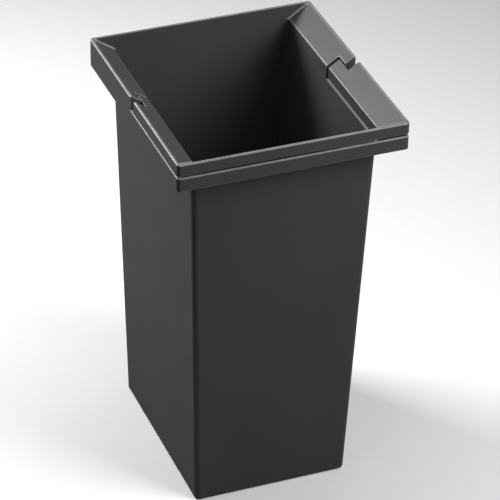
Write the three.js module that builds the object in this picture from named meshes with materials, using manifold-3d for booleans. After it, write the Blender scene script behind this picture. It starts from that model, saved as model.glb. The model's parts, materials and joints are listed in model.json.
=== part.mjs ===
// A pull-out kitchen waste bin: one deep moulded bucket that hangs or stands by its funnel-shaped
// rim, and a U-shaped bail handle that lies flush in the lowered front half of that rim.
//
// Millimetres. +Z is up and the front of the bin faces -Y. The origin is the middle of the rim's
// footprint, on the surface that the bin stands on.

import * as THREE from 'three';
import { mergeVertices } from 'three/addons/utils/BufferGeometryUtils.js';
import Module from 'manifold-3d';

const wasm = await Module();
wasm.setup();

// ---- Driving dimensions -------------------------------------------------------------------

const HEIGHT = 455;
const RIM_WIDTH = 250;
const RIM_DEPTH = 270;
const RIM_CORNER = 4;
const SKIRT_HEIGHT = 31;
const WALL = 2.2;

// The bucket's outer cross-section where it stands, and where it meets the rim's skirt. It is
// set back, so that the rim overhangs at the front and sides and is thin along the back.
const BASE = { z: 0, width: 173, depth: 224, y: 15.5 };
const NECK = { z: HEIGHT - SKIRT_HEIGHT, width: 201, depth: 245, y: 11.5 };
const BODY_CORNER = 6;
const FLOOR_THICKNESS = 2.5;
const BASE_CHAMFER = 1.6;

// The rim slopes down into the bucket like a funnel, from a narrow land along its outer edge.
const LAND = 1.6;
const SLOPE_WIDTH = 25;
const SLOPE_DROP = 15.8;
const INNER_CORNER = 4;
const SLOPE_SKIN = 2.7;
const BACK_THICKNESS = 3.4;

// The front half of the rim is a copy of the same funnel, lowered to make room for the handle.
const LEDGE_DROP = 15.4;
const TAB_FRONT = 6.7;
const STEP_BACK = 24;
const STEP_INSET = 11.7;

// The handle copies the rim's upper surface, as an open channel of this depth.
const HANDLE_DEPTH = 12.8;
const ARM_END = -4.5;
const EAR_END = 19.6;
const EAR_INSET = 13.3;
const OPENING_CLEARANCE = 0.2;

// The stub pins on the handle's ears turn in holes in the rim's fixed tabs.
const PIVOT = { y: 15, z: HEIGHT - 14 };
const PIN_RADIUS = 3;
const PIN_LENGTH = 4.9;
const HOLE_RADIUS = 3.3;

const CORNER_STEPS = 3;
const PIN_SIDES = 32;
const WELD_DISTANCE = 1e-4;

// Cutting shapes run past what they cut by OVERSHOOT, or by FAR where nothing else is in the way.
// Shapes that are cut to length afterwards start at BELOW_RIM.
const OVERSHOOT = 1;
const FAR = 300;
const BELOW_RIM = HEIGHT - 100;

// ---- Solids -------------------------------------------------------------------------------

function toSolid(geometry) {
  geometry.deleteAttribute('normal');
  geometry.deleteAttribute('uv');
  const merged = mergeVertices(geometry, WELD_DISTANCE);
  return new wasm.Manifold(new wasm.Mesh({
    numProp: 3,
    vertProperties: merged.attributes.position.array,
    triVerts: new Uint32Array(merged.index.array),
  }));
}

function toMesh(name, solid, material) {
  const { vertProperties, triVerts } = solid.getMesh();
  const geometry = new THREE.BufferGeometry();
  geometry.setAttribute('position', new THREE.BufferAttribute(vertProperties, 3));
  geometry.setIndex(new THREE.BufferAttribute(triVerts, 1));
  geometry.computeVertexNormals();
  const mesh = new THREE.Mesh(geometry, material);
  mesh.name = name;
  return mesh;
}

function block([x0, x1], [y0, y1], [z0, z1]) {
  const geometry = new THREE.BoxGeometry(x1 - x0, y1 - y0, z1 - z0);
  geometry.translate((x0 + x1) / 2, (y0 + y1) / 2, (z0 + z1) / 2);
  return toSolid(geometry);
}

function roundedRectangle(width, depth, radius) {
  const x = width / 2 - radius;
  const y = depth / 2 - radius;
  const quarter = Math.PI / 2;
  const outline = new THREE.Shape();
  outline.absarc(x, y, radius, 0, quarter);
  outline.absarc(-x, y, radius, quarter, 2 * quarter);
  outline.absarc(-x, -y, radius, 2 * quarter, 3 * quarter);
  outline.absarc(x, -y, radius, 3 * quarter, 4 * quarter);
  return outline;
}

// A rounded rectangle drawn out from one section to another above it. A section is its height,
// its width and depth, and the y of its middle.
function taper(lower, upper, radius) {
  const height = upper.z - lower.z;
  const outline = roundedRectangle(lower.width, lower.depth, radius);
  const settings = { depth: height, bevelEnabled: false, curveSegments: CORNER_STEPS };
  const geometry = new THREE.ExtrudeGeometry(outline, settings);
  const point = geometry.attributes.position;
  for (let i = 0; i < point.count; i += 1) {
    const t = point.getZ(i) / height;
    const x = point.getX(i) * THREE.MathUtils.lerp(1, upper.width / lower.width, t);
    const y = point.getY(i) * THREE.MathUtils.lerp(1, upper.depth / lower.depth, t);
    point.setXYZ(i, x, y + THREE.MathUtils.lerp(lower.y, upper.y, t), point.getZ(i) + lower.z);
  }
  return toSolid(geometry);
}

function pinAlongX(radius, xMiddle, length) {
  const geometry = new THREE.CylinderGeometry(radius, radius, length, PIN_SIDES);
  geometry.rotateZ(Math.PI / 2);
  geometry.translate(xMiddle, PIVOT.y, PIVOT.z);
  return toSolid(geometry);
}

// ---- Sections shared by the bucket and the handle -------------------------------------------

// The bucket's section at any height, smaller all round by inset.
function bodySection(z, inset = 0) {
  const t = (z - BASE.z) / (NECK.z - BASE.z);
  return {
    z,
    width: THREE.MathUtils.lerp(BASE.width, NECK.width, t) - 2 * inset,
    depth: THREE.MathUtils.lerp(BASE.depth, NECK.depth, t) - 2 * inset,
    y: THREE.MathUtils.lerp(BASE.y, NECK.y, t),
  };
}

// The rim's outer section, smaller all round by inset.
function rimSection(z, inset = 0) {
  return { z, width: RIM_WIDTH - 2 * inset, depth: RIM_DEPTH - 2 * inset, y: 0 };
}

// The rim's section, cut off straight at yBack instead of at the rim's own back.
function openBackSection(z, inset, yBack) {
  const yFront = inset - RIM_DEPTH / 2;
  return { z, width: RIM_WIDTH - 2 * inset, depth: yBack - yFront, y: (yFront + yBack) / 2 };
}

// Everything above a funnel surface whose outer land lies at the height top.
function aboveFunnel(top, yBack = RIM_DEPTH / 2 - BACK_THICKNESS) {
  const throat = openBackSection(top - SLOPE_DROP, SLOPE_WIDTH, yBack);
  const mouth = openBackSection(top, LAND, yBack);
  const slopes = taper(throat, mouth, INNER_CORNER);
  return slopes.add(block([-FAR, FAR], [-FAR, FAR], [top, HEIGHT + FAR]));
}

// The strip in front of yWide, and between the two tabs the strip in front of yNarrow.
function steppedRegion(yWide, yNarrow, halfWidth) {
  const wide = block([-FAR, FAR], [-FAR, yWide], [-FAR, FAR + HEIGHT]);
  return wide.add(block([-halfWidth, halfWidth], [-FAR, yNarrow], [-FAR, FAR + HEIGHT]));
}

const stepHalfWidth = RIM_WIDTH / 2 - STEP_INSET;
const earHalfWidth = RIM_WIDTH / 2 - EAR_INSET;

// ---- The bucket -----------------------------------------------------------------------------

// The space for the handle: above the lowered funnel, in front of the stepped edge. It grows by
// margin, which gives the underside of the same skin.
function handleSpace(margin, drop) {
  const region = steppedRegion(TAB_FRONT + margin, STEP_BACK + margin, stepHalfWidth + margin);
  return aboveFunnel(HEIGHT - LEDGE_DROP - drop).intersect(region);
}

function outerBody() {
  const foot = taper(
    { ...bodySection(0, BASE_CHAMFER), z: 0 },
    bodySection(BASE_CHAMFER),
    BODY_CORNER - BASE_CHAMFER,
  );
  return foot.add(taper(bodySection(BASE_CHAMFER), bodySection(HEIGHT), BODY_CORNER));
}

// The rim is a skin over air: this is the air between its skirt and the bucket's wall.
function rimHollow() {
  const foot = rimSection(HEIGHT - SKIRT_HEIGHT - OVERSHOOT, WALL);
  const inside = taper(foot, rimSection(HEIGHT, WALL), RIM_CORNER - WALL);
  return inside
    .subtract(outerBody())
    .subtract(aboveFunnel(HEIGHT - SLOPE_SKIN, RIM_DEPTH / 2))
    .subtract(handleSpace(WALL, SLOPE_SKIN));
}

function pivotHole(side) {
  return pinAlongX(HOLE_RADIUS, side * (stepHalfWidth + WALL / 2), 2 * WALL);
}

function makeBucket() {
  const rim = taper(rimSection(HEIGHT - SKIRT_HEIGHT), rimSection(HEIGHT), RIM_CORNER);
  const inside = taper(
    bodySection(FLOOR_THICKNESS, WALL),
    bodySection(HEIGHT + OVERSHOOT, WALL),
    BODY_CORNER - WALL,
  );
  return outerBody()
    .add(rim)
    .subtract(rimHollow())
    .subtract(inside)
    .subtract(aboveFunnel(HEIGHT))
    .subtract(handleSpace(0, 0))
    .subtract(pivotHole(-1))
    .subtract(pivotHole(1));
}

// ---- The bail handle ------------------------------------------------------------------------

// The hole in the middle of the U, open at the back.
function handleOpening(margin) {
  const inset = SLOPE_WIDTH + OPENING_CLEARANCE - margin;
  const lower = openBackSection(BELOW_RIM, inset, FAR);
  return taper(lower, { ...lower, z: HEIGHT + OVERSHOOT }, INNER_CORNER + margin);
}

function handleChannel() {
  const lower = rimSection(BELOW_RIM, WALL);
  return taper(lower, rimSection(HEIGHT, WALL), RIM_CORNER - WALL)
    .subtract(aboveFunnel(HEIGHT - SLOPE_SKIN))
    .subtract(handleOpening(WALL))
    .intersect(steppedRegion(ARM_END - WALL, EAR_END - WALL, earHalfWidth - WALL));
}

function pivotPin(side) {
  const middle = earHalfWidth + (PIN_LENGTH - OVERSHOOT) / 2;
  return pinAlongX(PIN_RADIUS, side * middle, PIN_LENGTH + OVERSHOOT);
}

function makeHandle() {
  return taper(rimSection(BELOW_RIM), rimSection(HEIGHT), RIM_CORNER)
    .subtract(aboveFunnel(HEIGHT))
    .intersect(aboveFunnel(HEIGHT - HANDLE_DEPTH))
    .subtract(handleOpening(0))
    .intersect(steppedRegion(ARM_END, EAR_END, earHalfWidth))
    .subtract(handleChannel())
    .add(pivotPin(-1))
    .add(pivotPin(1));
}

// ---- The bin --------------------------------------------------------------------------------

const bucketPlastic = new THREE.MeshStandardMaterial({
  color: 0x3a3b3e, roughness: 0.5, metalness: 0,
});
const handlePlastic = new THREE.MeshStandardMaterial({
  color: 0x3d3e41, roughness: 0.48, metalness: 0,
});

const group = new THREE.Group();
group.add(toMesh('bin_bucket', makeBucket(), bucketPlastic));
group.add(toMesh('bail_handle', makeHandle(), handlePlastic));

export default group;
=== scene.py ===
import json
import math
from collections import namedtuple

import bmesh
import bpy
from mathutils import Matrix, Vector


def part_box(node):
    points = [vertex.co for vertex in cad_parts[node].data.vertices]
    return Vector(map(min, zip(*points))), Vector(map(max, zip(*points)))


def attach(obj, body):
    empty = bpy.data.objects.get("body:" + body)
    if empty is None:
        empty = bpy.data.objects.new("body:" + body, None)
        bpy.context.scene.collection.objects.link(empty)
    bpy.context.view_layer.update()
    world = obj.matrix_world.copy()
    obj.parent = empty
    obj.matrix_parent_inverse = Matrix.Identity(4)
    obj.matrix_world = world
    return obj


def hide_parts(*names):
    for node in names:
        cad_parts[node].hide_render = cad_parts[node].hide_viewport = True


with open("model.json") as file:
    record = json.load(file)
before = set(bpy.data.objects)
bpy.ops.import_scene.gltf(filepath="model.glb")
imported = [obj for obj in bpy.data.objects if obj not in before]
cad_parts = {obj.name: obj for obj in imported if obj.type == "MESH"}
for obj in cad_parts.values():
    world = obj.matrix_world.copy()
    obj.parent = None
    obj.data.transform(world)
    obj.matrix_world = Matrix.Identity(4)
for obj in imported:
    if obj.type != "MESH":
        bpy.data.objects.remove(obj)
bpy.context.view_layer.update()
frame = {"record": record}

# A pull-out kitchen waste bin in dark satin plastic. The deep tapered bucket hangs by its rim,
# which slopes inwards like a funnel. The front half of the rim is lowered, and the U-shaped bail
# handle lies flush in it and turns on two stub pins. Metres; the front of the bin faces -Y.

bucket_low, bucket_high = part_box("bin_bucket")
handle_low, handle_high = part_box("bail_handle")
hinge = Vector(frame["record"]["behaviour"]["joints"][0]["pos_m"])

# ---- Sizes --------------------------------------------------------------------------------

# A level cut through the bin: its height, half its width, and its front and back.
Section = namedtuple("Section", "height half_width front back")

MM = 0.001
TOP = bucket_high.z
HALF_WIDTH = bucket_high.x
RIM_FRONT = bucket_low.y
RIM_BACK = bucket_high.y
RIM_CORNER = 4 * MM
SKIRT_FOOT = TOP - 31 * MM
WALL = 2.2 * MM

# The bucket's outside at its base and where it meets the foot of the skirt.
BASE = Section(0, HALF_WIDTH - 38.5 * MM, RIM_FRONT + 38.5 * MM, RIM_BACK - 7.5 * MM)
NECK = Section(SKIRT_FOOT, HALF_WIDTH - 24.5 * MM, RIM_FRONT + 24 * MM, RIM_BACK - 1 * MM)
BODY_CORNER = 6.4 * MM
BASE_ROUND = 2.4 * MM
FLOOR = 2.5 * MM

# The rim has a narrow land along its outer edge, and slopes down from it to the throat.
LAND = 2.4 * MM
FALL = 0.686
THROAT = 25.6 * MM
THROAT_BACK = RIM_BACK - 3.4 * MM
INNER_CORNER = 3 * MM
SKIN = 2.7 * MM
HOLLOW_CORNER = 3.8 * MM

# The lowered front half of the rim, and the steps behind it.
LEDGE = TOP - 15.4 * MM
TAB_FRONT = 6.7 * MM
STEP_BACK = 24 * MM
STEP_SIDE = HALF_WIDTH - 11.7 * MM

# The handle is a channel, open below, whose upper side continues the rim. The frame's handle is
# lowest at its inner edge, from where its underside rises to the outer edge.
UNDERSIDE_WIDTH = 23.4 * MM
UNDERSIDE_RISE = 0.675
HANDLE_INNER = HALF_WIDTH - handle_high.x + 25.2 * MM
HANDLE_UNDERSIDE = handle_low.z + UNDERSIDE_WIDTH * UNDERSIDE_RISE
ARM_END = -4.5 * MM
EAR_BACK = handle_high.y
EAR_SIDE = HALF_WIDTH - 13.3 * MM
PIN_RADIUS = 3 * MM
PIN_END = EAR_SIDE + 3.9 * MM
HOLE_RADIUS = 3.3 * MM

# How far the edges are rounded back.
LIP_ROUND = 1.5 * MM
CREST_ROUND = 0.8 * MM
THROAT_ROUND = 1.2 * MM
END_ROUND = 0.7 * MM
FOOT_ROUND = 0.6 * MM
LARGEST_ROUND = 2 * MM
SHARP_TURN = math.radians(25)

CORNER_STEPS = 8
EDGE_STEPS = 4
ROUND_STEPS = 48
CLEAR = 5 * MM
FAR = 0.3


def part_way(lower, upper, height):
    """The section at a height on the straight line through two others."""
    share = (height - lower.height) / (upper.height - lower.height)
    return Section(*(a + share * (b - a) for a, b in zip(lower, upper)))


def inset(section, distance):
    """The section moved in on its four sides."""
    return Section(
        section.height,
        section.half_width - distance,
        section.front + distance,
        section.back - distance,
    )


def rim_section(height, distance=0.0):
    return inset(Section(height, HALF_WIDTH, RIM_FRONT, RIM_BACK), distance)


# ---- Modelling ----------------------------------------------------------------------------

def work_on(piece):
    """Makes the piece the only selected one, out of edit mode."""
    if bpy.context.mode != "OBJECT":
        bpy.ops.object.mode_set(mode="OBJECT")
    bpy.ops.object.select_all(action="DESELECT")
    piece.select_set(True)
    bpy.context.view_layer.objects.active = piece


def put_in_mesh(piece):
    """Moves the object's place, turn and scale into its mesh."""
    work_on(piece)
    bpy.ops.object.transform_apply(location=True, rotation=True, scale=True)


def select_where(piece, kind, wanted):
    """Goes into edit mode with only the faces or edges that are wanted selected."""
    work_on(piece)
    bpy.ops.object.mode_set(mode="EDIT")
    bpy.ops.mesh.select_mode(type=kind)
    bpy.ops.mesh.select_all(action="DESELECT")
    mesh = bmesh.from_edit_mesh(piece.data)
    for element in mesh.faces if kind == "FACE" else mesh.edges:
        if wanted(element):
            element.select_set(True)
    bmesh.update_edit_mesh(piece.data)


def tidy(piece):
    """Merges doubled points and joins the faces that lie in one plane."""
    work_on(piece)
    bpy.ops.object.mode_set(mode="EDIT")
    bpy.ops.mesh.select_mode(type="VERT")
    bpy.ops.mesh.select_all(action="SELECT")
    bpy.ops.mesh.remove_doubles(threshold=0.02 * MM)
    bpy.ops.mesh.dissolve_limited(angle_limit=math.radians(0.3))
    bpy.ops.mesh.normals_make_consistent(inside=False)
    bpy.ops.object.mode_set(mode="OBJECT")


def middle_of(edge):
    return (edge.verts[0].co + edge.verts[1].co) / 2


def stands(edge):
    return abs(edge.verts[0].co.z - edge.verts[1].co.z) > 0.1 * MM


def faces_up(face):
    return face.normal.z > 0.9


def faces_down(face):
    return face.normal.z < -0.9


def stretch_to(old, new):
    """Moves what is selected, which spans the old section, so that it spans the new one."""
    old_middle = Vector((0, (old.front + old.back) / 2, old.height))
    new_middle = Vector((0, (new.front + new.back) / 2, new.height))
    wider = new.half_width / old.half_width
    deeper = (new.back - new.front) / (old.back - old.front)
    bpy.ops.transform.resize(value=(wider, deeper, 1), center_override=old_middle)
    bpy.ops.transform.translate(value=new_middle - old_middle)


def stack(name, sections, corner=0.0):
    """A solid through level sections from the lowest up, with its standing edges rounded."""
    low, above = sections[0], sections[1]
    size = Vector((2 * low.half_width, low.back - low.front, above.height - low.height))
    middle = Vector((0, (low.front + low.back) / 2, (low.height + above.height) / 2))
    bpy.ops.mesh.primitive_cube_add(size=1, location=middle, scale=size)
    piece = bpy.context.object
    piece.name = name
    put_in_mesh(piece)
    select_where(piece, "FACE", faces_up)
    stretch_to(low._replace(height=above.height), above)
    for below, section in zip(sections[1:], sections[2:]):
        bpy.ops.mesh.extrude_region_move()
        stretch_to(below, section)
    if corner:
        select_where(piece, "EDGE", stands)
        bpy.ops.mesh.bevel(offset=corner, segments=CORNER_STEPS, affect="EDGES")
    bpy.ops.object.mode_set(mode="OBJECT")
    return piece


def block(name, half_width, back, top=TOP + FAR):
    """A plain block from far in front to a given back."""
    low = Section(SKIRT_FOOT - FAR / 3, half_width, -FAR, back)
    return stack(name, [low, low._replace(height=top)])


def combine(piece, tool, how):
    """Cuts, joins or keeps the common part of two solids, and uses the tool up."""
    work_on(piece)
    bpy.ops.object.modifier_add(type="BOOLEAN")
    modifier = piece.modifiers[-1]
    modifier.operation = how
    modifier.object = tool
    modifier.solver = "EXACT"
    bpy.ops.object.modifier_apply(modifier=modifier.name)
    bpy.data.objects.remove(tool)


def cut(piece, tool):
    combine(piece, tool, "DIFFERENCE")


def join(piece, tool):
    combine(piece, tool, "UNION")


def keep_inside(piece, tool):
    combine(piece, tool, "INTERSECT")


# ---- Shapes that the bucket and the handle share ------------------------------------------

def funnel_section(top, distance, back):
    """The funnel's section at a distance in from the rim, where its land lies at the top."""
    height = top - (distance - LAND) * FALL
    return Section(height, HALF_WIDTH - distance, RIM_FRONT + distance, back)


def space_above(name, top, back=THROAT_BACK, overhang=True):
    """All the space above a funnel surface, with or without what lies over the land."""
    throat = funnel_section(top, THROAT + 2 * MM, back)
    mouth = funnel_section(top, LAND, back)
    sections = [throat, mouth]
    if overhang:
        wide = Section(top, HALF_WIDTH + FAR, RIM_FRONT - FAR, RIM_BACK + FAR)
        sections += [wide, wide._replace(height=TOP + FAR)]
    else:
        sections += [mouth._replace(height=TOP + CLEAR)]
    piece = stack(name, sections)
    select_where(piece, "EDGE", lambda edge: stands(edge) and middle_of(edge).z < top)
    bpy.ops.mesh.bevel(offset=INNER_CORNER, segments=CORNER_STEPS, affect="EDGES")
    bpy.ops.object.mode_set(mode="OBJECT")
    return piece


def stepped_space(name, wide_back, narrow_back, narrow_side):
    """The space in front of a stepped line, which reaches further back in the middle."""
    piece = block(name, HALF_WIDTH + FAR, wide_back)
    join(piece, block("middle", narrow_side, narrow_back, TOP + 1.2 * FAR))
    return piece


def pin_along_x(name, radius, start, end):
    """A round pin through the hinge line, from one x to another."""
    bpy.ops.mesh.primitive_cylinder_add(
        vertices=ROUND_STEPS,
        radius=radius,
        depth=abs(end - start),
        location=((start + end) / 2, hinge.y, hinge.z),
        rotation=(0, math.pi / 2, 0),
    )
    piece = bpy.context.object
    piece.name = name
    put_in_mesh(piece)
    return piece


# ---- Rounding -----------------------------------------------------------------------------

def near(a, b, distance=0.3 * MM):
    return abs(a - b) < distance


def turn_of(edge):
    """The angle that the surface turns by at an edge, positive where the edge sticks out."""
    if len(edge.link_faces) != 2:
        return 0.0
    return edge.calc_face_angle_signed(0.0)


def is_outer(edge):
    """Whether one of the edge's faces is an upright outer side, facing away from the bin."""
    point = middle_of(edge)
    outward = Vector((point.x, point.y, 0))
    return any(abs(f.normal.z) < 0.1 and f.normal.dot(outward) > 0.05 for f in edge.link_faces)


def is_under(edge):
    return any(face.normal.z < -0.3 for face in edge.link_faces)


def is_at_hinge(edge):
    point = middle_of(edge)
    return math.hypot(point.y - hinge.y, point.z - hinge.z) < HOLE_RADIUS + 1 * MM


def weigh_edges(piece, radius_of):
    """Gives every outward edge its own rounding, as a share of the largest."""
    def rounding_of(edge):
        return radius_of(edge) if turn_of(edge) > SHARP_TURN else 0.0

    work_on(piece)
    bpy.ops.object.mode_set(mode="EDIT")
    edges = bmesh.from_edit_mesh(piece.data).edges
    for rounding in sorted({rounding_of(edge) for edge in edges} - {0.0}):
        select_where(piece, "EDGE", lambda edge: rounding_of(edge) == rounding)
        bpy.ops.transform.edge_bevelweight(value=rounding / LARGEST_ROUND)
    bpy.ops.object.mode_set(mode="OBJECT")


def is_mitre(face):
    """Whether a face lies in the hollow corner where two slopes, or a slope and a wall, meet."""
    return min(abs(face.normal.x), abs(face.normal.y)) > 0.08 and face.normal.z > 0.3


def mark_rounded(piece):
    """Keeps which faces are rounded edges or mitres, as an attribute that the plastic reads to paint a pale
    highlight on them and to make them glossier.
    """
    faces = piece.data.polygons
    mark = piece.data.attributes.new("rounded_edge", "FLOAT", "FACE")
    # The rounded edges and the mitres in the hollow corners are both marked for the painted highlight.
    shares = [float(face.material_index == 1 or is_mitre(face)) for face in faces]
    mark.data.foreach_set("value", shares)
    faces.foreach_set("material_index", [0] * len(faces))
    piece.data.materials.clear()


def round_edges(piece, radius_of):
    """Rounds the weighed edges into a second material slot, and shades the piece smooth."""
    weigh_edges(piece, radius_of)
    piece.data.materials.append(None)
    piece.data.materials.append(None)
    bpy.ops.object.modifier_add(type="BEVEL")
    bevel = piece.modifiers[-1]
    bevel.limit_method = "WEIGHT"
    bevel.width = LARGEST_ROUND
    bevel.segments = EDGE_STEPS
    bevel.use_clamp_overlap = False
    bevel.miter_outer = "MITER_ARC"
    bevel.material = 1
    bpy.ops.object.modifier_apply(modifier=bevel.name)
    mark_rounded(piece)
    bpy.ops.object.shade_smooth_by_angle(angle=math.radians(35))
    bpy.ops.object.modifier_add(type="WEIGHTED_NORMAL")
    weighted = piece.modifiers[-1]
    weighted.keep_sharp = True
    weighted.weight = 80
    bpy.ops.object.modifier_apply(modifier=weighted.name)


# ---- The bucket ---------------------------------------------------------------------------

def make_body(name):
    """The outside of the tapered bucket, up to the top of the rim."""
    piece = stack(name, [BASE, part_way(BASE, NECK, TOP - 1 * MM)], BODY_CORNER)
    select_where(piece, "FACE", faces_down)
    bpy.ops.mesh.region_to_loop()
    bpy.ops.mesh.bevel(offset=BASE_ROUND, segments=CORNER_STEPS, affect="EDGES")
    bpy.ops.object.mode_set(mode="OBJECT")
    return piece


def make_inside():
    """The space inside the bucket: up from its floor to the throat, and out to the rim's land."""
    floor = inset(part_way(BASE, NECK, FLOOR), WALL)
    back_slant = (THROAT_BACK - floor.back) / (TOP - FLOOR)
    throat = funnel_section(TOP, THROAT, THROAT_BACK)
    mouth = funnel_section(TOP, LAND, THROAT_BACK + back_slant * (TOP - throat.height))
    above = mouth._replace(height=TOP + CLEAR)
    piece = stack("inside", [floor, throat, mouth, above], INNER_CORNER)
    select_where(piece, "FACE", faces_down)
    bpy.ops.mesh.region_to_loop()
    bpy.ops.mesh.bevel(offset=INNER_CORNER / 2, segments=EDGE_STEPS, affect="EDGES")
    bpy.ops.object.mode_set(mode="OBJECT")
    return piece


def handle_space(margin, drop):
    """The space that the handle lies in, larger by a margin for the underside of its walls."""
    piece = space_above("handle_space", LEDGE - drop)
    edge = stepped_space("edge", TAB_FRONT + margin, STEP_BACK + margin, STEP_SIDE + margin)
    keep_inside(piece, edge)
    return piece


def make_rim():
    """The rim's skirt and its sloping skin, with only air below and between them."""
    rim = stack("rim", [rim_section(SKIRT_FOOT), rim_section(TOP)], RIM_CORNER)
    low = rim_section(SKIRT_FOOT - CLEAR, WALL)
    hollow = stack("rim_hollow", [low, low._replace(height=TOP)], HOLLOW_CORNER)
    cut(hollow, space_above("skin", TOP - SKIN, RIM_BACK))
    cut(hollow, handle_space(WALL, SKIN))
    cut(rim, hollow)
    return rim


def bucket_rounding(edge):
    """How far an edge of the bucket is rounded back, by where it is."""
    point = middle_of(edge)
    level = not stands(edge)
    if near(point.z, SKIRT_FOOT) and is_outer(edge) and is_under(edge):
        return FOOT_ROUND
    if is_at_hinge(edge) or is_under(edge) or point.z < SKIRT_FOOT + 1 * MM:
        return 0.0
    if level and (near(point.z, TOP) or near(point.z, LEDGE)):
        return LIP_ROUND if is_outer(edge) else CREST_ROUND
    if level and abs(point.x) < HALF_WIDTH - THROAT + 1 * MM:
        return THROAT_ROUND
    return END_ROUND


def make_bucket():
    bucket = make_body("tapered_bucket")
    join(bucket, make_rim())
    cut(bucket, make_inside())
    cut(bucket, handle_space(0, 0))
    for side in (-1, 1):
        start = side * (STEP_SIDE - CLEAR)
        end = side * (STEP_SIDE + 1.5 * WALL)
        cut(bucket, pin_along_x("hole", HOLE_RADIUS, start, end))
    tidy(bucket)
    round_edges(bucket, bucket_rounding)
    return bucket


# ---- The bail handle ----------------------------------------------------------------------

def make_handle_opening(name, margin):
    """The hole in the middle of the U, open at the back."""
    low = rim_section(SKIRT_FOOT - FAR / 4, HANDLE_INNER - margin)._replace(back=FAR)
    return stack(name, [low, low._replace(height=TOP + CLEAR)], INNER_CORNER + margin)


def make_handle_channel():
    """The hollow under the handle, between its outer and inner skirts."""
    low = rim_section(SKIRT_FOOT - FAR / 5, WALL)
    piece = stack("channel", [low, low._replace(height=TOP)], RIM_CORNER - WALL)
    cut(piece, space_above("skin", TOP - SKIN))
    cut(piece, make_handle_opening("opening", WALL))
    keep_inside(piece, stepped_space("walls", ARM_END - WALL, EAR_BACK - WALL, EAR_SIDE - WALL))
    return piece


def handle_rounding(edge):
    """How far an edge of the handle is rounded back, by where it is."""
    point = middle_of(edge)
    level = not stands(edge)
    if is_at_hinge(edge):
        return 0.0
    if near(point.z, HANDLE_UNDERSIDE):
        return FOOT_ROUND if is_outer(edge) else 0.0
    if is_under(edge) or (point.z < HANDLE_UNDERSIDE and edge.calc_length() < CLEAR):
        return 0.0
    if level and near(point.z, TOP):
        return LIP_ROUND if is_outer(edge) else CREST_ROUND
    return END_ROUND


def make_handle():
    low = rim_section(SKIRT_FOOT - FAR / 6)
    handle = stack("bail_grip", [low, low._replace(height=TOP)], RIM_CORNER)
    keep_inside(handle, space_above("underside", HANDLE_UNDERSIDE))
    cut(handle, space_above("slope", TOP, overhang=False))
    cut(handle, make_handle_opening("opening", 0))
    keep_inside(handle, stepped_space("ends", ARM_END, EAR_BACK, EAR_SIDE))
    cut(handle, make_handle_channel())
    for side in (-1, 1):
        join(handle, pin_along_x("pin", PIN_RADIUS, side * (EAR_SIDE - WALL / 2), side * PIN_END))
    tidy(handle)
    round_edges(handle, handle_rounding)
    return handle


bucket = make_bucket()
handle = make_handle()
for piece, body, node, slot in (
    (bucket, "bucket", "bin_bucket", "bucket_plastic"),
    (handle, "handle", "bail_handle", "handle_plastic"),
):
    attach(piece, body)
    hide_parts(node)


# ---- Materials ----------------------------------------------------------------------------

def socket_of(node, name, is_output=False):
    """The node's enabled socket of that name: a Mix node has several with the same one."""
    sockets = node.outputs if is_output else node.inputs
    return next(socket for socket in sockets if socket.name == name and socket.enabled)


def add_node(tree, kind, settings=None, values=None):
    """A node with its settings, and a number, a colour or another socket for each input."""
    node = tree.nodes.new(kind)
    for name, setting in (settings or {}).items():
        setattr(node, name, setting)
    for name, value in (values or {}).items():
        target = node.inputs[name] if isinstance(name, int) else socket_of(node, name)
        if isinstance(value, bpy.types.NodeSocket):
            tree.links.new(value, target)
        else:
            target.default_value = value
    return node


def reckon(tree, operation, *values):
    """The output of a Math node."""
    numbered = dict(enumerate(values))
    return add_node(tree, "ShaderNodeMath", {"operation": operation}, numbered).outputs["Value"]


def cloudy(tree, place, size, detail=2.0, softness=0.5):
    """A noise of about 0 to 1, whose patches have a given size."""
    values = {"Vector": place, "Scale": 1 / size, "Detail": detail, "Roughness": softness}
    return add_node(tree, "ShaderNodeTexNoise", None, values).outputs["Fac"]


def from_to(tree, value, low, high, new_low=0.0, new_high=1.0):
    """A value stretched from one range to another, and held inside it."""
    values = {
        "Value": value,
        "From Min": low,
        "From Max": high,
        "To Min": new_low,
        "To Max": new_high,
    }
    return add_node(tree, "ShaderNodeMapRange", None, values).outputs["Result"]


def stretched(tree, place, scale):
    """The place, stretched along each axis, which draws a pattern out or squeezes it."""
    return add_node(tree, "ShaderNodeMapping", None, {"Vector": place, "Scale": scale}).outputs["Vector"]


def new_group(name, inputs, outputs):
    """An empty node group with named inputs, which have starting values, and named outputs."""
    group = bpy.data.node_groups.new(name, "ShaderNodeTree")
    for label, kind, value in inputs:
        socket = group.interface.new_socket(name=label, in_out="INPUT", socket_type=kind)
        if value is not None:
            socket.default_value = value
    for label, kind in outputs:
        group.interface.new_socket(name=label, in_out="OUTPUT", socket_type=kind)
    entry = group.nodes.new("NodeGroupInput")
    return group, entry.outputs, group.nodes.new("NodeGroupOutput").inputs


VECTOR = "NodeSocketVector"
NUMBER = "NodeSocketFloat"


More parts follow.
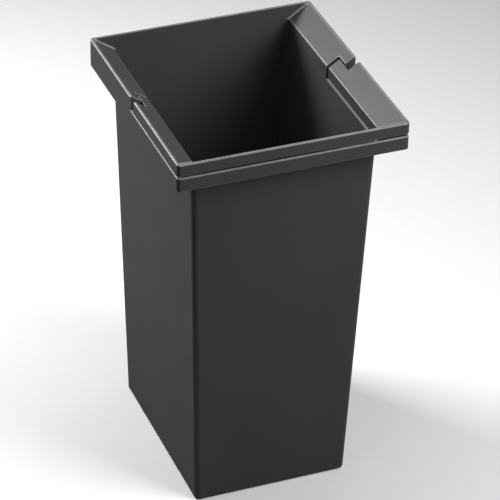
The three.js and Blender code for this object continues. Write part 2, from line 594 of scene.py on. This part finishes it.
def make_mould_grain():
    """The even texture that the spark-eroded mould gives the plastic, and its slight ripple."""
    group, given, result = new_group(
        "mould_grain",
        [("Place", VECTOR, None), ("Grain Size", NUMBER, 0.45 * MM), ("Ripple", NUMBER, 0.25)],
        [("Height", NUMBER), ("Pits", NUMBER)],
    )
    cells = reckon(group, "DIVIDE", 1.0, given["Grain Size"])
    pits = add_node(
        group,
        "ShaderNodeTexVoronoi",
        {"feature": "SMOOTH_F1"},
        {"Vector": given["Place"], "Scale": cells, "Smoothness": 0.6},
    ).outputs["Distance"]
    crumbs = add_node(
        group,
        "ShaderNodeTexNoise",
        None,
        {"Vector": given["Place"], "Scale": cells, "Detail": 3.0, "Roughness": 0.6},
    ).outputs["Fac"]
    grain = reckon(group, "MULTIPLY_ADD", pits, 0.6, reckon(group, "MULTIPLY", crumbs, 0.6))
    ripple = reckon(group, "MULTIPLY", cloudy(group, given["Place"], 16 * MM), given["Ripple"])
    group.links.new(reckon(group, "ADD", grain, ripple), result["Height"])
    group.links.new(from_to(group, pits, 0.15, 0.65), result["Pits"])
    return group


def make_flow_marks():
    """Broad faint streaks, drawn out upwards, where the plastic flowed as it filled the mould."""
    group, given, result = new_group(
        "flow_marks",
        [("Place", VECTOR, None), ("Length", NUMBER, 4.0)],
        [("Shade", NUMBER), ("Gloss", NUMBER)],
    )
    upward = reckon(group, "DIVIDE", 1.0, given["Length"])
    scale = add_node(group, "ShaderNodeCombineXYZ", None, {"X": 1.0, "Y": 1.0, "Z": upward})
    streaks = cloudy(group, stretched(group, given["Place"], scale.outputs["Vector"]), 38 * MM, 3.0)
    clouds = cloudy(group, given["Place"], 90 * MM, 1.0)
    both = reckon(group, "MULTIPLY_ADD", streaks, 0.6, reckon(group, "MULTIPLY", clouds, 0.4))
    group.links.new(from_to(group, both, 0.35, 0.65), result["Shade"])
    group.links.new(from_to(group, clouds, 0.35, 0.65), result["Gloss"])
    return group


def make_edge_gloss_and_painted_highlight():
    """Where a pale highlight is painted along the rounded edges and mitres, unevenly along them; the same
    share also makes them glossier and smoother.
    """
    group, given, result = new_group(
        "edge_gloss_and_painted_highlight",
        [("Place", VECTOR, None), ("Edge", NUMBER, 0.0), ("Evenness", NUMBER, 0.7)],
        [("Gloss And Painted Highlight", NUMBER)],
    )
    patches = from_to(group, cloudy(group, given["Place"], 9 * MM, 4.0), 0.35, 0.6)
    uneven = reckon(group, "SUBTRACT", 1.0, given["Evenness"])
    share = reckon(group, "MULTIPLY_ADD", patches, uneven, given["Evenness"])
    group.links.new(reckon(group, "MULTIPLY", given["Edge"], share), result["Gloss And Painted Highlight"])
    return group


def make_scuffs():
    """Fine short rub marks in two directions, in a few patches."""
    group, given, result = new_group(
        "scuffs",
        [("Place", VECTOR, None), ("Amount", NUMBER, 0.5)],
        [("Scuff", NUMBER)],
    )
    lengthwise = cloudy(group, stretched(group, given["Place"], (1.0, 0.06, 0.3)), 0.7 * MM)
    crosswise = cloudy(group, stretched(group, given["Place"], (0.06, 1.0, 0.25)), 0.7 * MM)
    lines = from_to(group, reckon(group, "MAXIMUM", lengthwise, crosswise), 0.66, 0.76)
    patches = from_to(group, cloudy(group, given["Place"], 45 * MM, 2.0), 0.5, 0.7)
    marks = reckon(group, "MULTIPLY", lines, patches)
    group.links.new(reckon(group, "MULTIPLY", marks, given["Amount"]), result["Scuff"])
    return group


def make_settled_dust():
    """A thin film of dust on what faces up, thicker in soft patches."""
    group, given, result = new_group(
        "settled_dust",
        [("Place", VECTOR, None), ("Amount", NUMBER, 0.1)],
        [("Dust", NUMBER)],
    )
    normal = group.nodes.new("ShaderNodeNewGeometry").outputs["Normal"]
    upward = add_node(group, "ShaderNodeSeparateXYZ", None, {"Vector": normal}).outputs["Z"]
    level = from_to(group, upward, 0.55, 1.0)
    patches = from_to(group, cloudy(group, given["Place"], 30 * MM, 5.0, 0.65), 0.3, 0.7, 0.3, 1.0)
    film = reckon(group, "MULTIPLY", level, patches)
    group.links.new(reckon(group, "MULTIPLY", film, given["Amount"]), result["Dust"])
    return group


mould_grain = make_mould_grain()
flow_marks = make_flow_marks()
edge_gloss_and_painted_highlight = make_edge_gloss_and_painted_highlight()
scuffs = make_scuffs()
settled_dust = make_settled_dust()


def place_group(tree, group, values):
    """The outputs of an effect's group, placed in a material's tree."""
    return add_node(tree, "ShaderNodeGroup", {"node_tree": group}, values).outputs


def blend_colour(tree, share, first, second):
    """The colour at a share of the way from the first to the second."""
    values = {"Factor": share, "A": first, "B": second}
    node = add_node(tree, "ShaderNodeMix", {"data_type": "RGBA"}, values)
    return socket_of(node, "Result", True)


def grey(red, green, blue):
    """A colour that is nearly grey, and opaque."""
    return (red, green, blue, 1.0)


# What both plastics have in common: the reflectivity, how much glossier a rounded edge is where a pale
# highlight is also painted into its colour, how much of a surface that faces up the dust covers, and the
# colour of the dust.
GLOSS = 0.35
EDGE_GLOSS = 0.15
DUST = 0.015
DUST_COLOUR = grey(0.36, 0.35, 0.33)


def satin_plastic(name, dark, pale, scuff_and_painted_highlight, roughness, grain_depth, scuffed):
    """Dyed-through satin plastic, glossier on its rounded edges and mitres, where a pale highlight is
    painted into its colour; its real scuffs take the same pale colour.
    """
    material = bpy.data.materials.new(name)
    material.use_nodes = True
    tree = material.node_tree
    shader = tree.nodes["Principled BSDF"]
    place = tree.nodes.new("ShaderNodeTexCoord").outputs["Object"]
    edge = add_node(tree, "ShaderNodeAttribute", {"attribute_name": "rounded_edge"}).outputs["Fac"]
    grain = place_group(tree, mould_grain, {"Place": place})
    flow = place_group(tree, flow_marks, {"Place": place})
    gloss_and_painted_highlight = place_group(tree, edge_gloss_and_painted_highlight, {"Place": place, "Edge": edge})["Gloss And Painted Highlight"]
    scuff = place_group(tree, scuffs, {"Place": place, "Amount": scuffed})["Scuff"]
    dust = place_group(tree, settled_dust, {"Place": place, "Amount": DUST})["Dust"]

    shade = reckon(tree, "MULTIPLY_ADD", grain["Pits"], 0.25, reckon(tree, "MULTIPLY", flow["Shade"], 0.75))
    colour = blend_colour(tree, shade, dark, pale)
    # Painted highlight: the rounded edges and mitres are blended towards the pale colour. The scuffs are
    # real wear and take the same colour.
    colour = blend_colour(tree, reckon(tree, "MAXIMUM", gloss_and_painted_highlight, scuff), colour, scuff_and_painted_highlight)
    colour = blend_colour(tree, dust, colour, DUST_COLOUR)
    tree.links.new(colour, shader.inputs["Base Color"])

    rough = reckon(tree, "MULTIPLY_ADD", flow["Gloss"], 0.05, roughness - 0.025)
    rough = reckon(tree, "MULTIPLY_ADD", grain["Pits"], 0.06, rough)
    rough = reckon(tree, "MULTIPLY_ADD", gloss_and_painted_highlight, -EDGE_GLOSS, rough)
    rough = reckon(tree, "MULTIPLY_ADD", scuff, 0.12, rough)
    rough = reckon(tree, "MULTIPLY_ADD", dust, 0.6, rough)
    tree.links.new(rough, shader.inputs["Roughness"])

    smoothed = reckon(tree, "MULTIPLY_ADD", gloss_and_painted_highlight, -0.6, 1.0)
    height = reckon(tree, "MULTIPLY", grain["Height"], smoothed)
    height = reckon(tree, "MULTIPLY_ADD", scuff, -0.5, height)
    bump = add_node(
        tree, "ShaderNodeBump", None, {"Height": height, "Strength": 0.5, "Distance": grain_depth}
    )
    tree.links.new(bump.outputs["Normal"], shader.inputs["Normal"])
    shader.inputs["Specular IOR Level"].default_value = GLOSS
    return material


def make_bucket_plastic():
    """The bucket's finish: hardly handled, and only faintly scuffed."""
    return satin_plastic(
        "anthracite_bucket_plastic",
        dark=grey(0.050, 0.050, 0.0512),
        pale=grey(0.057, 0.057, 0.0584),
        # This pale colour is a painted highlight on the rounded edges and mitres, and the real colour of
        # the scuffs.
        scuff_and_painted_highlight=grey(0.205, 0.205, 0.21),
        roughness=0.42,
        grain_depth=0.05 * MM,
        scuffed=0.12,
    )


def make_handle_plastic():
    """The handle's finish: a shade paler and smoother, from hands."""
    return satin_plastic(
        "anthracite_handle_plastic",
        dark=grey(0.050, 0.050, 0.0515),
        pale=grey(0.057, 0.057, 0.0587),
        # This pale colour is a painted highlight on the rounded edges and mitres, and the real colour of
        # the scuffs.
        scuff_and_painted_highlight=grey(0.215, 0.215, 0.22),
        roughness=0.40,
        grain_depth=0.045 * MM,
        scuffed=0.2,
    )


for piece, plastic in ((bucket, make_bucket_plastic()), (handle, make_handle_plastic())):
    piece.data.materials.append(plastic)


def make_floor_paint():
    """Pale matt paint with a faint mottle, which throws little light back up at the bin."""
    material = bpy.data.materials.new("pale_studio_floor")
    material.use_nodes = True
    tree = material.node_tree
    shader = tree.nodes["Principled BSDF"]
    place = tree.nodes.new("ShaderNodeTexCoord").outputs["Object"]
    mottle = from_to(tree, cloudy(tree, place, 0.3), 0.3, 0.7)
    paint = blend_colour(tree, mottle, grey(0.9, 0.9, 0.9), grey(0.91, 0.91, 0.91))
    seen = tree.nodes.new("ShaderNodeLightPath").outputs["Is Camera Ray"]
    colour = blend_colour(tree, seen, grey(0.22, 0.22, 0.22), paint)
    tree.links.new(colour, shader.inputs["Base Color"])
    shader.inputs["Roughness"].default_value = 0.85
    shader.inputs["Specular IOR Level"].default_value = 0.2
    return material


# ---- Studio -------------------------------------------------------------------------------

# The floor lies just below the bin's underside, so that the two surfaces don't coincide.
FLOOR_GAP = 0.5 * MM
bpy.ops.mesh.primitive_plane_add(size=40, location=(0, 0, -FLOOR_GAP))
floor = bpy.context.object
floor.name = "studio_floor"
floor.data.materials.append(make_floor_paint())

AIM = Vector((0, 0, 0.35))


def softbox(name, place, size, power, colour=(1, 1, 1)):
    """A square soft light that looks at the upper part of the bin."""
    bpy.ops.object.light_add(type="AREA", location=place)
    light = bpy.context.object
    light.name = name
    light.data.size = size
    light.data.energy = power
    light.data.color = colour
    light.visible_camera = False
    light.rotation_euler = (AIM - Vector(place)).to_track_quat("-Z", "Y").to_euler()


softbox("overhead", (0, 0.03, 1.05), 0.8, 2.7)
softbox("back_left", (-0.7, 0.85, 1.0), 0.5, 20.4, (0.985, 0.985, 1.0))
softbox("front_right", (0.77, -0.84, 1.1), 0.8, 17.4)

world = bpy.data.worlds.new("studio")
bpy.context.scene.world = world
world.use_nodes = True
world.node_tree.nodes["Background"].inputs["Color"].default_value = (1, 1, 1, 1)
world.node_tree.nodes["Background"].inputs["Strength"].default_value = 0.05
bpy.context.scene.view_settings.view_transform = "Standard"


def aim_camera(place, yaw, pitch, roll):
    """A camera at a place, turned right by the yaw, tipped down by the pitch, then rolled."""
    ahead = Vector((math.sin(yaw) * math.cos(pitch), math.cos(yaw) * math.cos(pitch), -math.sin(pitch)))
    level = Vector((math.cos(yaw), -math.sin(yaw), 0))
    upright = level.cross(ahead)
    right = level * math.cos(roll) + upright * math.sin(roll)
    up = upright * math.cos(roll) - level * math.sin(roll)
    bpy.ops.object.camera_add(location=place)
    camera = bpy.context.object
    camera.matrix_world = Matrix.Translation(place) @ Matrix((right, up, -ahead)).transposed().to_4x4()
    return camera


CAMERA_PLACE = Vector((-1.01373, -2.5336, 2.05073))
CAMERA_YAW = 0.3834
CAMERA_PITCH = 0.5846
CAMERA_ROLL = 0.024

camera = aim_camera(CAMERA_PLACE, CAMERA_YAW, CAMERA_PITCH, CAMERA_ROLL)
camera.data.lens = 220.93
camera.data.sensor_width = 36
bpy.context.scene.camera = camera
